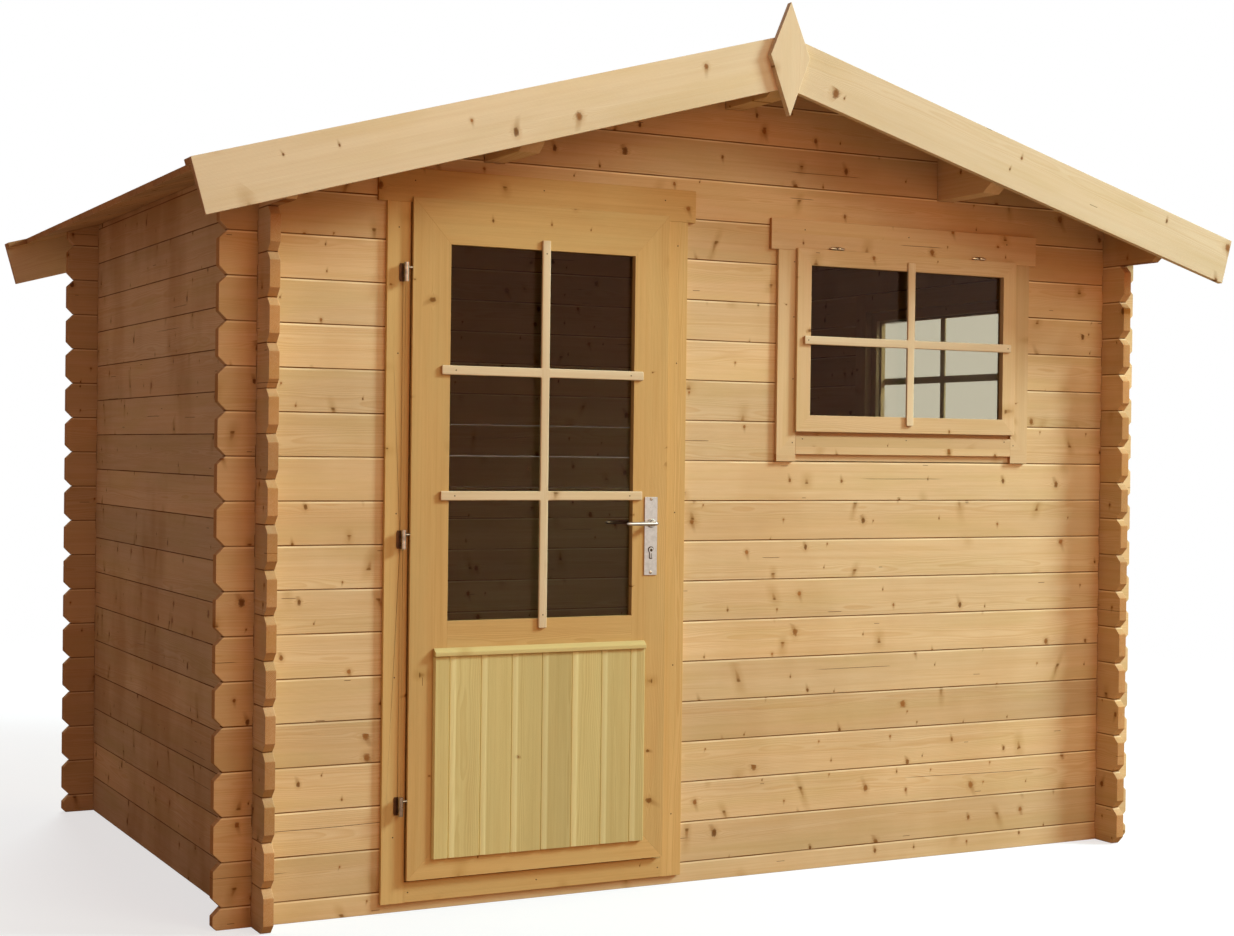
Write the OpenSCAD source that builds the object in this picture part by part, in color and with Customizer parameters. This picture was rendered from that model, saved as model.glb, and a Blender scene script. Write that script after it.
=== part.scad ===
// Garden log cabin with a gable front, one glazed door and two windows.
// Frame: +X to the right along the front, +Y from front to back, +Z up.
// The origin is on the ground at the middle of the footprint.

/* [Logs] */
// Height of one log course
log_h = 114; // [105:1:122]
// Thickness of a log
log_t = 28; // [24:1:40]
// How far the log ends stand past the crossing wall
log_end = 100; // [60:5:140]
// Chamfer on the corners of a log end
log_nose = 22; // [12:1:28]
// Chamfer at the foot of the lowest log ends
foot_nose = 10; // [4:1:14]
// Open joint between two logs
log_joint = 0.6; // [0.2:0.1:0.9]
// Play at the sides of a corner notch
notch_play = 0.6; // [0.2:0.1:0.9]

/* [Cabin] */
// Width over the outer faces of the side walls
cabin_w = 2800; // [2700:10:3300]
// Depth over the outer faces of the front and back walls
cabin_d = 1800; // [1500:10:2600]
// Full courses in a side wall below its eave log
side_courses = 16; // [15:1:18]

/* [Roof] */
// Slope of the roof in degrees
roof_pitch = 15.7; // [13:0.1:20]
// Height of the roof's underside above the last side wall joint, at the outer face
eave_rise = 130; // [122:1:150]
// Overhang of the gable ends, from the wall to the outer face of the barge boards
gable_overhang = 275; // [180:5:360]
// Overhang of the roof boards past the side walls
eave_overhang = 190; // [120:5:260]
// Thickness of the roof boards
roof_t = 17; // [14:1:28]
// Width of the longer board along each gable edge
verge_w = 44; // [30:1:80]
// How far the barge boards and verge boards run past the other roof boards
barge_past = 60; // [20:5:90]
// Width of a barge board
barge_w = 140; // [110:1:170]
// Thickness of a barge board
barge_t = 18; // [14:1:28]
// Width of a purlin
purlin_w = 60; // [40:1:80]
// Height of a purlin at its lower side
purlin_h = 138; // [115:1:150]
// Distance of the side purlins from the ridge
purlin_x = 749; // [700:1:800]
// Length of the cut under a purlin's end
purlin_cut = 38; // [20:1:60]
// Height of the cut under a purlin's end
purlin_cut_h = 26; // [15:1:50]
// Seat left between the roof boards and what carries them
roof_seat = 0.3; // [0.1:0.1:0.6]

/* [Finials] */
// Half the width of a finial
finial_w = 63; // [40:1:90]
// Height of a finial's point above its widest part
finial_up = 149; // [100:1:200]
// Length of a finial's point below its widest part
finial_down = 163; // [100:1:200]
// Height of a finial's widest part below the roof's peak
finial_drop = 62; // [40:1:90]
// Thickness of a finial
finial_t = 18; // [12:1:24]

/* [Floor] */
// Height of the floor bearers
bearer_h = 40; // [30:1:40]
// Width of the floor bearers
bearer_w = 45; // [35:1:70]
// Number of floor bearers
bearer_count = 5; // [3:2:7]
// Thickness of the floor boards
floor_t = 16; // [12:1:17]
// Gap round the floor boards
floor_gap = 8; // [4:1:15]
// Seat left between the bearers' ends and the walls
bearer_seat = 0.3; // [0.1:0.1:0.6]

/* [Door] */
// Place of the door's middle, from the middle of the front
door_x = -606; // [-700:1:-560]
// Width of the door leaf over its lips
leaf_w = 766; // [700:1:800]
// Thickness of the door leaf
leaf_t = 40; // [36:1:46]
// Height of the leaf's underside above the ground
leaf_bottom = 85; // [80:1:95]
// Distance of the leaf's top below the wall joint over it
leaf_drop = 1; // [0:1:6]
// How far the leaf's face stands in front of the wall
leaf_proud = 27; // [26:1:32]
// Thickness of the leaf's lip
lip_t = 10; // [8:1:10]
// Width of the leaf's lip
lip_w = 19; // [15:1:22]
// Gap between the leaf's edge and its frame
leaf_gap = 6.5; // [6:0.1:8]
// Gap between the leaf's back and the stop behind it
stop_gap = 5; // [5:0.5:8]
// Gap under the leaf
foot_gap = 5; // [5:0.5:8]
// Width of the door's stiles
stile_w = 107; // [95:1:120]
// Play left in the mitred corners of the leaf
mitre_play = 0.3; // [0.1:0.1:0.5]
// Height of the door's top rail
top_rail_h = 118; // [90:1:140]
// Height of the door's middle rail
lock_rail_h = 110; // [90:1:130]
// Height of the door's bottom rail
bottom_rail_h = 110; // [90:1:130]
// Height of the door's glass above the leaf's underside
glass_lift = 680; // [600:1:760]
// Width of a glazing bar
bar_w = 25; // [18:1:30]
// Thickness of a glazing bar
bar_t = 8; // [6:1:12]
// How far a glazing bar laps onto the frame round the glass
bar_lap = 26; // [15:1:32]
// Thickness of the glass
glass_t = 4; // [3:1:6]
// Depth of the seat that the glass sits in
glass_seat = 8; // [5:1:12]
// Distance of the glass behind the face of its frame
glass_depth = 18; // [14:1:20]
// Height of the door panel's foot above the leaf's underside
panel_lift = 53; // [40:1:90]
// How far the door panel laps onto the frame round it
panel_lap = 40; // [20:1:60]
// Thickness of the door panel
panel_t = 10; // [8:1:14]
// Number of boards in the door panel, the half boards at its edges counted as one
panel_boards = 7; // [5:1:9]
// Width of the grooves between the panel's boards
panel_groove = 9; // [5:1:12]
// Depth of the grooves between the panel's boards
panel_groove_d = 4; // [2:0.5:5]
// Height of the moulding over the door panel
moulding_h = 22; // [16:1:30]
// Thickness of the moulding over the door panel
moulding_t = 17; // [12:1:24]

/* [Frames] */
// Thickness of the casing boards round the door and the windows
casing_t = 12; // [10:1:12]
// Width of the casing boards
casing_w = 65; // [55:1:75]
// Height of the head boards over the door and the windows
head_h = 90; // [70:1:100]
// How far a head board runs past the casing boards
head_past = 25; // [10:1:40]
// Thickness of the frame posts in the wall
post_t = 27; // [22:1:35]
// Width of the stop behind the door leaf
stop_w = 12; // [8:1:14]
// Gap between a frame and the sawn log ends
frame_gap = 2; // [1:0.5:4]
// Seat left between the casing boards and the wall
wall_seat = 0.3; // [0.1:0.1:0.6]
// Height of the front board of the door sill
sill_board_h = 55; // [45:1:70]

/* [Windows] */
// Place of the front window's middle, from the middle of the front
window_x = 606; // [560:1:660]
// Place of the side window's middle, from the middle of the side
side_window_y = 0; // [-150:1:150]
// Width of a casement
casement_w = 800; // [700:1:830]
// Height of a casement
casement_h = 533; // [500:1:545]
// Height of the casement's foot above the opening's foot
casement_lift = 87; // [80:1:95]
// Width of the casement's members
casement_m = 48; // [38:1:60]
// Thickness of the casement
casement_t = 38; // [34:1:44]
// Width of the casement's lip over its frame
casement_lip = 6; // [4:1:9]
// Thickness of the casement's lip
casement_lip_t = 11; // [8:1:13]
// Play between the casement and its frame
casement_gap = 2.5; // [1:0.5:4]
// Seat left between the casement's lip and the casing boards
casement_seat = 0.3; // [0.1:0.1:0.6]
// Height of the board under a casement
apron_h = 54; // [40:1:60]
// Distance of that board above the opening's foot
apron_lift = 21; // [10:1:25]

/* [Ironmongery] */
// Radius of a hinge barrel
hinge_r = 6.5; // [5.5:0.1:7.5]
// Height of one knuckle of a hinge
knuckle_h = 25; // [18:1:35]
// Radius of a hinge pin
pin_r = 3.5; // [3:0.1:4]
// Radial play between a hinge pin and its knuckle
pin_play = 0.08; // [0.03:0.01:0.1]
// Radius of the studs that hold a hinge
stud_r = 3.5; // [2.5:0.1:4]
// Play of a hinge stud in its bore
stud_play = 0.1; // [0.05:0.05:0.3]
// Length of a hinge stud in the leaf
stud_in = 14; // [10:1:16]
// Distance of the hinge axis from the leaf's edge
hinge_out = 19; // [15:1:24]
// Distance of the hinge axis in front of the wall
hinge_proud = 28; // [26:1:34]
// Distance of the end hinges from the leaf's top and foot
hinge_inset = 197; // [150:1:260]
// Width of a handle plate
plate_w = 40; // [32:1:50]
// Height of a handle plate
plate_h = 218; // [180:1:240]
// Thickness of a handle plate
plate_t = 3; // [2:0.5:5]
// Distance of the plate's middle from the leaf's edge
plate_inset = 50; // [50:1:56]
// Height of the plate's middle above the ground
plate_z = 985; // [900:1:1050]
// Height of the lever above the plate's middle
lever_up = 36; // [20:1:60]
// Length of a lever from its spindle
lever_l = 100; // [80:1:130]
// Radius of a lever
lever_r = 8; // [6:0.5:10]
// Distance of a lever's middle from its plate
lever_out = 42; // [30:1:60]
// Play between a lever's neck and its plate
neck_play = 0.4; // [0.3:0.1:0.6]
// Radius of the spindle through the door
spindle_r = 4.5; // [4:0.5:6]

/* [Hidden] */

pine = [0.80, 0.63, 0.40];
pale_pine = [0.85, 0.71, 0.50];
joinery_pine = [0.78, 0.60, 0.34];
green_pine = [0.78, 0.70, 0.43];
pane = [0.25, 0.27, 0.28, 0.5];
metal = [0.72, 0.70, 0.68];

half_w = cabin_w / 2;
half_d = cabin_d / 2;
half_log_x = half_w + log_end;
half_log_y = half_d + log_end;
cross_x = half_w - log_t / 2;
cross_y = half_d - log_t / 2;
quarter = log_h / 4;
notch_half = log_t / 2 + notch_play;

// Heights: the side walls' joints lie at whole courses, the front's and back's at half courses
side_top = side_courses * log_h;
front_top = side_top + log_h / 2;
gable_first = side_courses + 1;

// Roof: the underside is a line in the XZ plane on each slope
slope = tan(roof_pitch);
under_eave = side_top + eave_rise;
under_ridge = under_eave + half_w * slope;
top_ridge = under_ridge + roof_t / cos(roof_pitch);
board_edge_x = half_w + eave_overhang;
barge_edge_x = board_edge_x + barge_past;
gable_y = half_d + gable_overhang;
roof_y = gable_y - barge_t;
function under(x) = under_ridge - abs(x) * slope;
function over(x) = top_ridge - abs(x) * slope;

side_purlin_foot = under(purlin_x + purlin_w / 2) - purlin_h;
ridge_purlin_foot = under(purlin_w / 2) - purlin_h;
slot_half = purlin_w / 2 + notch_play;

// Door, measured from the wall's outer face: +y runs into the cabin
leaf_top = front_top - leaf_drop;
leaf_h = leaf_top - leaf_bottom;
leaf_half = leaf_w / 2;
body_half = leaf_half - lip_w;
leaf_front = -leaf_proud;
lip_back = leaf_front + lip_t;
leaf_back = leaf_front + leaf_t;
post_in = body_half + leaf_gap;
post_out = post_in + post_t;
door_hole_half = post_out + frame_gap;
head_foot = leaf_top - lip_w + leaf_gap;
door_hole_top = head_foot + post_t + frame_gap;
casing_in = leaf_half + 2;
casing_out = casing_in + casing_w;
stop_front = leaf_back + stop_gap;
inner_face = log_t + wall_seat;
inner_casing = inner_face + casing_t;
sill_top = leaf_bottom - foot_gap;
sill_log_top = log_h / 2;
post_foot = sill_log_top + wall_seat;
sill_half = post_in - wall_seat;
door_glass_half = leaf_half - stile_w;
door_glass_foot = leaf_bottom + glass_lift;
door_glass_top = leaf_top - top_rail_h;
door_glass_h = door_glass_top - door_glass_foot;
panel_foot = leaf_bottom + panel_lift;
lock_rail_foot = door_glass_foot - lock_rail_h;
panel_half = door_glass_half + panel_lap;
panel_top = lock_rail_foot + panel_lap - moulding_h;

// Windows, measured from the opening's foot and middle
window_need_h = casement_lift + casement_h - casement_lip + post_t + frame_gap;
window_courses = ceil(window_need_h / log_h);
window_hole_h = window_courses * log_h;
casement_half = casement_w / 2;
casement_front = -casing_t - casement_seat - casement_lip_t;
window_in = casement_half - casement_lip;
window_out = window_in + post_t;
window_hole_half = window_out + frame_gap;
window_first = side_courses + 1 - window_courses;
front_window_foot = front_top - window_hole_h;
side_window_foot = side_top - window_hole_h;
casement_top = casement_lift + casement_h;
window_in_foot = casement_lift + casement_lip;
window_in_top = casement_top - casement_lip;
sight_half = casement_half - casement_m;
sight_foot = casement_lift + casement_m;
sight_top = casement_top - casement_m;

// Ironmongery
hinge_x = -leaf_half - hinge_out;
hinge_z = [leaf_bottom + hinge_inset, (leaf_bottom + leaf_top) / 2, leaf_top - hinge_inset];
plate_x = leaf_half - plate_inset;
lever_z = plate_z + lever_up;
stud_y = (leaf_front + lip_back) / 2;

// ---- Log outlines, as points along the wall and up ----

// Corner notch in a log's underside, and in its top
function notch_under(u, low, foot) = [
    [u - notch_half, foot], [u - notch_half, low + quarter + log_joint / 2],
    [u + notch_half, low + quarter + log_joint / 2], [u + notch_half, foot]];
function notch_over(u, high, head) = [
    [u + notch_half, head], [u + notch_half, high - quarter - log_joint / 2],
    [u - notch_half, high - quarter - log_joint / 2], [u - notch_half, head]];

// Outline of a log from a to b between the course lines low and high.
// cross_a and cross_b say which ends cross another wall; the ground is never passed.
function log_outline(a, b, low, high, cross_a, cross_b) =
    let (foot = max(low + log_joint / 2, 0),
         head = high - log_joint / 2,
         on_ground = foot == 0,
         nose = on_ground ? foot_nose : log_nose,
         ua = a + log_end + log_t / 2,
         ub = b - log_end - log_t / 2,
         notched = low >= 0)
    concat(
        cross_a ? [[a, foot + nose], [a + nose, foot]] : [[a, foot]],
        cross_a && notched ? notch_under(ua, low, foot) : [],
        cross_b && notched ? notch_under(ub, low, foot) : [],
        cross_b ? [[b - nose, foot], [b, foot + nose]] : [[b, foot]],
        cross_b ? [[b, head - log_nose], [b - log_nose, head]] : [[b, head]],
        cross_b ? notch_over(ub, high, head) : [],
        cross_a ? notch_over(ua, high, head) : [],
        cross_a ? [[a + log_nose, head], [a, head - log_nose]] : [[a, head]]);

function course_low(k) = (k - 0.5) * log_h;

// A log in a front or back wall, and one in a side wall
module log_along_x(points, y) {
    translate([0, y + log_t, 0]) rotate([90, 0, 0]) linear_extrude(log_t) polygon(points);
}
module log_along_y(points, x) {
    translate([x, 0, 0]) rotate([90, 0, 90]) linear_extrude(log_t) polygon(points);
}

module course_x(k, y, a, b, cross_a, cross_b) {
    log_along_x(log_outline(a, b, course_low(k), course_low(k + 1), cross_a, cross_b), y);
}
module course_y(k, x, a, b, cross_a, cross_b) {
    log_along_y(log_outline(a, b, k * log_h, (k + 1) * log_h, cross_a, cross_b), x);
}

// Everything that lies under the roof boards
module under_roof() {
    translate([0, gable_y, 0]) rotate([90, 0, 0]) linear_extrude(2 * gable_y)
        polygon([[-barge_edge_x, 0], [barge_edge_x, 0], [barge_edge_x, under(barge_edge_x) - roof_seat],
                 [0, under_ridge - roof_seat], [-barge_edge_x, under(barge_edge_x) - roof_seat]]);
}

// ---- Walls ----

module front_wall_lower() {
    color(pine) {
        course_x(0, -half_d, -half_log_x, half_log_x, true, true);
        for (k = [1:window_first - 1])
            course_x(k, -half_d, door_x + door_hole_half, half_log_x, false, true);
    }
}

module front_wall_left() {
    color(pine)
        for (k = [1:side_courses])
            course_x(k, -half_d, -half_log_x, door_x - door_hole_half, true, false);
}

module front_wall_middle() {
    color(pine)
        for (k = [window_first:side_courses])
            course_x(k, -half_d, door_x + door_hole_half, window_x - window_hole_half, false, false);
}

module front_wall_corner() {
    color(pine)
        for (k = [window_first:side_courses])
            course_x(k, -half_d, window_x + window_hole_half, half_log_x, false, true);
}

module back_wall() {
    color(pine)
        for (k = [0:side_courses])
            course_x(k, half_d - log_t, -half_log_x, half_log_x, true, true);
}

// The seats of the three purlins, cut through a gable whose outer face is at y
module purlin_seats(y) {
    for (side = [-1, 1])
        translate([side * purlin_x - slot_half, y - 1, side_purlin_foot - notch_play])
            cube([2 * slot_half, log_t + 2, 2 * log_h]);
    translate([-slot_half, y - 1, ridge_purlin_foot - notch_play])
        cube([2 * slot_half, log_t + 2, 2 * log_h]);
}

// A gable's logs: one across, one in three parts between the purlins, one across, and the peak
module gable(y) {
    inner = purlin_x - slot_half;
    outer = purlin_x + slot_half;
    low = course_low(gable_first);
    intersection() {
        difference() {
            union() {
                course_x(gable_first, y, -half_log_x, half_log_x, true, true);
                for (k = [1, 2])
                    course_x(gable_first + k, y, -inner, inner, false, false);
                for (side = [0, 1])
                    mirror([side, 0, 0]) {
                        log_along_x(log_outline(outer, half_log_x, low + log_h, low + 3 * log_h, false, false), y);
                        log_along_x(log_outline(slot_half, inner, low + 3 * log_h, low + 6 * log_h, false, false), y);
                    }
            }
            purlin_seats(y);
        }
        under_roof();
    }
}

module front_gable() {
    color(pine)
        difference() {
            gable(-half_d);
            door_hole();
        }
}

module back_gable() {
    color(pine) gable(half_d - log_t);
}

module door_hole() {
    translate([door_x - door_hole_half, -half_d - 1, sill_log_top])
        cube([2 * door_hole_half, log_t + 2, door_hole_top - sill_log_top]);
}

module left_wall() {
    color(pine)
        for (k = [0:side_courses - 1])
            course_y(k, -half_w, -half_log_y, half_log_y, true, true);
}

module right_wall_lower() {
    color(pine)
        for (k = [0:window_first - 2])
            course_y(k, half_w - log_t, -half_log_y, half_log_y, true, true);
}

module right_wall_front() {
    color(pine)
        for (k = [window_first - 1:side_courses - 1])
            course_y(k, half_w - log_t, -half_log_y, side_window_y - window_hole_half, true, false);
}

module right_wall_back() {
    color(pine)
        for (k = [window_first - 1:side_courses - 1])
            course_y(k, half_w - log_t, side_window_y + window_hole_half, half_log_y, false, true);
}

// ---- Roof timbers ----

// Outline of a beam that runs from gable to gable, cut away under its ends
function beam_outline(foot, head) =
    let (e = roof_y - roof_seat)
    [[-e, foot + purlin_cut_h], [-e + purlin_cut, foot], [e - purlin_cut, foot], [e, foot + purlin_cut_h],
     [e, head], [-e, head]];

// The top log of a side wall runs on to the barge boards and is bevelled under the roof
module eave_log() {
    foot = side_top + log_joint / 2;
    web_low = side_top + quarter + log_joint / 2;
    web_high = side_top + 3 * quarter - log_joint / 2;
    head = side_top + 3 * log_h;
    intersection() {
        difference() {
            translate([-half_w, 0, 0]) rotate([90, 0, 90]) linear_extrude(log_t)
                polygon(beam_outline(foot, head));
            for (side = [-1, 1])
                translate([-half_w - 1, side * cross_y - notch_half, 0]) {
                    cube([log_t + 2, 2 * notch_half, web_low]);
                    translate([0, 0, web_high]) cube([log_t + 2, 2 * notch_half, 3 * log_h]);
                }
        }
        under_roof();
    }
}

module eave_logs() {
    color(pine)
        for (side = [0, 1])
            mirror([side, 0, 0]) eave_log();
}

module purlin(x, foot) {
    intersection() {
        translate([x - purlin_w / 2, 0, 0]) rotate([90, 0, 90]) linear_extrude(purlin_w)
            polygon(beam_outline(foot, foot + 3 * purlin_h));
        under_roof();
    }
}

module purlins() {
    color(pine) {
        purlin(0, ridge_purlin_foot);
        for (side = [-1, 1])
            purlin(side * purlin_x, side_purlin_foot);
    }
}

// Section of the roof boards on the right slope, out to a given edge
module roof_section(edge) {
    polygon([[roof_seat, under(roof_seat)],
             [edge - roof_t * sin(roof_pitch), over(edge) - roof_t * cos(roof_pitch)],
             [edge, over(edge)],
             [roof_seat, over(roof_seat)]]);
}

// Roof boards on the right slope; the board along each gable runs out further
module roof_slope() {
    e = roof_y - roof_seat;
    translate([0, e, 0]) rotate([90, 0, 0]) linear_extrude(2 * e) roof_section(board_edge_x);
    translate([0, e, 0]) rotate([90, 0, 0]) linear_extrude(verge_w) roof_section(barge_edge_x);
    translate([0, verge_w - e, 0]) rotate([90, 0, 0]) linear_extrude(verge_w) roof_section(barge_edge_x);
}

module roof_left() {
    color(pine) mirror([1, 0, 0]) roof_slope();
}

module roof_right() {
    color(pine) roof_slope();
}

// A pair of barge boards, mitred at the peak and cut square at the eaves
module barge_pair(y) {
    across = barge_w * sin(roof_pitch);
    up = barge_w * cos(roof_pitch);
    for (side = [0, 1])
        mirror([side, 0, 0]) translate([0, y + barge_t, 0]) rotate([90, 0, 0]) linear_extrude(barge_t)
            polygon([[roof_seat, over(roof_seat)], [roof_seat, over(roof_seat) - barge_w / cos(roof_pitch)],
                     [barge_edge_x - across, over(barge_edge_x) - up], [barge_edge_x, over(barge_edge_x)]]);
}

module front_barge_boards() {
    color(pale_pine) barge_pair(-gable_y);
}

module back_barge_boards() {
    color(pale_pine) barge_pair(gable_y - barge_t);
}

module finial(y) {
    middle = top_ridge - finial_drop;
    translate([0, y + finial_t, 0]) rotate([90, 0, 0]) linear_extrude(finial_t)
        polygon([[0, middle + finial_up], [-finial_w, middle], [0, middle - finial_down], [finial_w, middle]]);
}

module finials() {
    color(pale_pine) {
        finial(-gable_y - finial_t);
        finial(gable_y);
    }
}

// ---- Floor ----

module floor_bearers() {
    span = half_w - log_t - floor_gap - bearer_w / 2;
    length = half_d - log_t - bearer_seat;
    color(pine)
        for (i = [0:bearer_count - 1])
            translate([span * (2 * i / (bearer_count - 1) - 1) - bearer_w / 2, -length, 0])
                cube([bearer_w, 2 * length, bearer_h]);
}

module floor_boards() {
    across = half_w - log_t - floor_gap;
    length = half_d - log_t - floor_gap;
    color(pine) translate([-across, -length, bearer_h]) cube([2 * across, 2 * length, floor_t]);
}

// ---- Door frame, in the wall's own frame: x from the door's middle, y into the cabin ----

module at_door() {
    translate([door_x, -half_d, 0]) children();
}

module block(x0, x1, y0, y1, z0, z1) {
    translate([x0, y0, z0]) cube([x1 - x0, y1 - y0, z1 - z0]);
}

module door_jambs() {
    color(joinery_pine)
        difference() {
            at_door()
                for (side = [0, 1])
                    mirror([side, 0, 0]) {
                        translate([0, 0, post_foot]) linear_extrude(head_foot - post_foot) jamb_section();
                        block(casing_in, casing_out, -casing_t, -wall_seat, sill_top - sill_board_h, post_foot);
                    }
            at_hinges() jamb_stud(stud_play, 1);
        }
}

// Section of a jamb: casing outside, post in the opening, stop behind the leaf, casing inside
module jamb_section() {
    polygon([[casing_in, -casing_t], [casing_out, -casing_t], [casing_out, -wall_seat],
             [post_out, -wall_seat], [post_out, inner_face], [casing_out, inner_face],
             [casing_out, inner_casing], [post_in - stop_w, inner_casing],
             [post_in - stop_w, stop_front], [post_in, stop_front],
             [post_in, -wall_seat], [casing_in, -wall_seat]]);
}

module door_head() {
    color(joinery_pine) at_door() {
        block(-post_out, post_out, -wall_seat, inner_face, head_foot, head_foot + post_t);
        block(-casing_out, casing_out, inner_face, inner_casing, head_foot, head_foot + head_h);
        block(-post_in + stop_w, post_in - stop_w, stop_front, inner_casing, head_foot - stop_w,
              head_foot + post_t);
    }
}

module door_head_board() {
    color(joinery_pine) at_door()
        block(-casing_out - head_past, casing_out + head_past, -casing_t, -wall_seat, head_foot,
              head_foot + head_h);
}

module door_sill() {
    color(joinery_pine) at_door() {
        block(-casing_in, casing_in, -casing_t, -wall_seat, sill_top - sill_board_h, sill_top);
        block(-sill_half, sill_half, -wall_seat, stop_front, post_foot, sill_top);
        block(-sill_half + stop_w, sill_half - stop_w, stop_front, inner_casing, post_foot, sill_top);
    }
}

// ---- Door leaf ----

// The whole leaf with its lip, uncut, and the part of it within an outline of its face
module leaf_blank() {
    block(-leaf_half, leaf_half, leaf_front, lip_back, leaf_bottom, leaf_top);
    block(-body_half, body_half, lip_back, leaf_back, leaf_bottom, leaf_top - lip_w);
}
module leaf_mitre(outline) {
    translate([0, leaf_back, 0]) rotate([90, 0, 0]) linear_extrude(leaf_t) polygon(outline);
}

module door_stiles() {
    color(joinery_pine) at_door()
        difference() {
            for (side = [0, 1])
                mirror([side, 0, 0])
                    difference() {
                        intersection() {
                            leaf_blank();
                            leaf_mitre([[door_glass_half, leaf_bottom + bottom_rail_h], [leaf_half, leaf_bottom],
                                        [leaf_half, leaf_top], [door_glass_half, door_glass_top]]);
                        }
                        glass_rebate(door_glass_half, door_glass_foot, door_glass_top, leaf_front, leaf_back);
                    }
            translate([plate_x, leaf_back + 1, lever_z]) rotate([90, 0, 0])
                cylinder(h = leaf_t + 2, r = lever_r + neck_play, $fn = 48);
            for (z = hinge_z)
                translate([hinge_x, -hinge_proud, z]) leaf_stud(stud_play);
        }
}

// The seat of a pane, open at the back of its frame
module glass_rebate(half, foot, top, front, back) {
    block(-half - glass_seat, half + glass_seat, front + glass_depth, back + 1, foot - glass_seat,
          top + glass_seat);
}

module door_rails() {
    color(joinery_pine) at_door()
        difference() {
            union() {
                intersection() {
                    leaf_blank();
                    leaf_mitre([[-door_glass_half, door_glass_top], [door_glass_half, door_glass_top],
                                [leaf_half - mitre_play, leaf_top], [mitre_play - leaf_half, leaf_top]]);
                }
                intersection() {
                    leaf_blank();
                    leaf_mitre([[door_glass_half, leaf_bottom + bottom_rail_h],
                                [-door_glass_half, leaf_bottom + bottom_rail_h],
                                [mitre_play - leaf_half, leaf_bottom], [leaf_half - mitre_play, leaf_bottom]]);
                }
                block(-door_glass_half, door_glass_half, leaf_front, leaf_back, lock_rail_foot, door_glass_foot);
            }
            glass_rebate(door_glass_half, door_glass_foot, door_glass_top, leaf_front, leaf_back);
        }
}

// A pane that sits in its rebate with a little play at the edges
module pane_sheet(half, foot, top, front) {
    play = 0.5;
    block(-half - glass_seat + play, half + glass_seat - play, front + glass_depth,
          front + glass_depth + glass_t, foot - glass_seat + play, top + glass_seat - play);
}

module door_glass() {
    color(pane) at_door() pane_sheet(door_glass_half, door_glass_foot, door_glass_top, leaf_front);
}

// One upright bar and a number of cross bars, planted on the frame round the glass
module bar_lattice(half, foot, top, front, rows) {
    block(-bar_w / 2, bar_w / 2, front - bar_t, front, foot - bar_lap, top + bar_lap);
    for (i = [1:rows - 1]) {
        z = foot + (top - foot) * i / rows;
        block(-half - bar_lap, half + bar_lap, front - bar_t, front, z - bar_w / 2, z + bar_w / 2);
    }
}

module door_bars() {
    color(pale_pine) at_door() bar_lattice(door_glass_half, door_glass_foot, door_glass_top, leaf_front, 3);
}

// Upright boards side by side, as one section with a groove at each joint
module door_panel() {
    pitch = 2 * panel_half / panel_boards;
    face = leaf_front - panel_t;
    first = -panel_half + pitch / 2;
    grooves = [for (i = [0:panel_boards - 1]) each let (x = first + i * pitch)
        [[x - panel_groove / 2, face], [x, face + panel_groove_d], [x + panel_groove / 2, face]]];
    color(green_pine) at_door() translate([0, 0, panel_foot]) linear_extrude(panel_top - panel_foot)
        polygon(concat([[-panel_half, leaf_front], [-panel_half, face]], grooves,
                       [[panel_half, face], [panel_half, leaf_front]]));
}

module door_moulding() {
    color(green_pine) at_door() translate([-panel_half, 0, 0]) rotate([90, 0, 90]) linear_extrude(2 * panel_half)
        polygon([[leaf_front, panel_top], [leaf_front - moulding_t, panel_top],
                 [leaf_front - moulding_t, panel_top + moulding_h / 2],
                 [leaf_front - panel_t / 2, panel_top + moulding_h], [leaf_front, panel_top + moulding_h]]);
}

// ---- Ironmongery ----

module at_hinges() {
    at_door()
        for (z = hinge_z)
            translate([hinge_x, -hinge_proud, z]) children();
}

// Stud of a lower knuckle in the casing, and of an upper knuckle in the leaf's edge
module jamb_stud(play, past) {
    translate([0, 0, -knuckle_h / 2]) rotate([-90, 0, 0])
        cylinder(h = hinge_proud - 1 + past, r = stud_r + play, $fn = 32);
}
module leaf_stud(play) {
    translate([0, hinge_proud + stud_y, knuckle_h / 2]) rotate([0, 90, 0])
        cylinder(h = hinge_out + stud_in + play, r = stud_r + play, $fn = 32);
}

// Lower knuckle, pin and stud, held in the casing
module door_hinge_pins() {
    color(metal) at_hinges() {
        translate([0, 0, -knuckle_h]) cylinder(h = knuckle_h - wall_seat, r = hinge_r, $fn = 48);
        translate([0, 0, -1]) cylinder(h = knuckle_h - 4, r = pin_r, $fn = 48);
        jamb_stud(0, 0);
    }
}

// Upper knuckle and stud, held in the leaf's edge
module door_hinge_knuckles() {
    color(metal) at_hinges()
        difference() {
            union() {
                translate([0, 0, wall_seat]) cylinder(h = knuckle_h, r = hinge_r, $fn = 48);
                leaf_stud(0);
            }
            translate([0, 0, -1]) cylinder(h = knuckle_h - 3, r = pin_r + pin_play, $fn = 48);
        }
}

// A plate on each face of the lock stile
module door_handle_plates() {
    color(metal) at_door()
        for (y = [leaf_front - plate_t, leaf_back])
            difference() {
                block(plate_x - plate_w / 2, plate_x + plate_w / 2, y, y + plate_t, plate_z - plate_h / 2,
                      plate_z + plate_h / 2);
                translate([plate_x, y + plate_t + 1, lever_z]) rotate([90, 0, 0])
                    cylinder(h = plate_t + 2, r = lever_r + neck_play, $fn = 48);
            }
}

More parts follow.
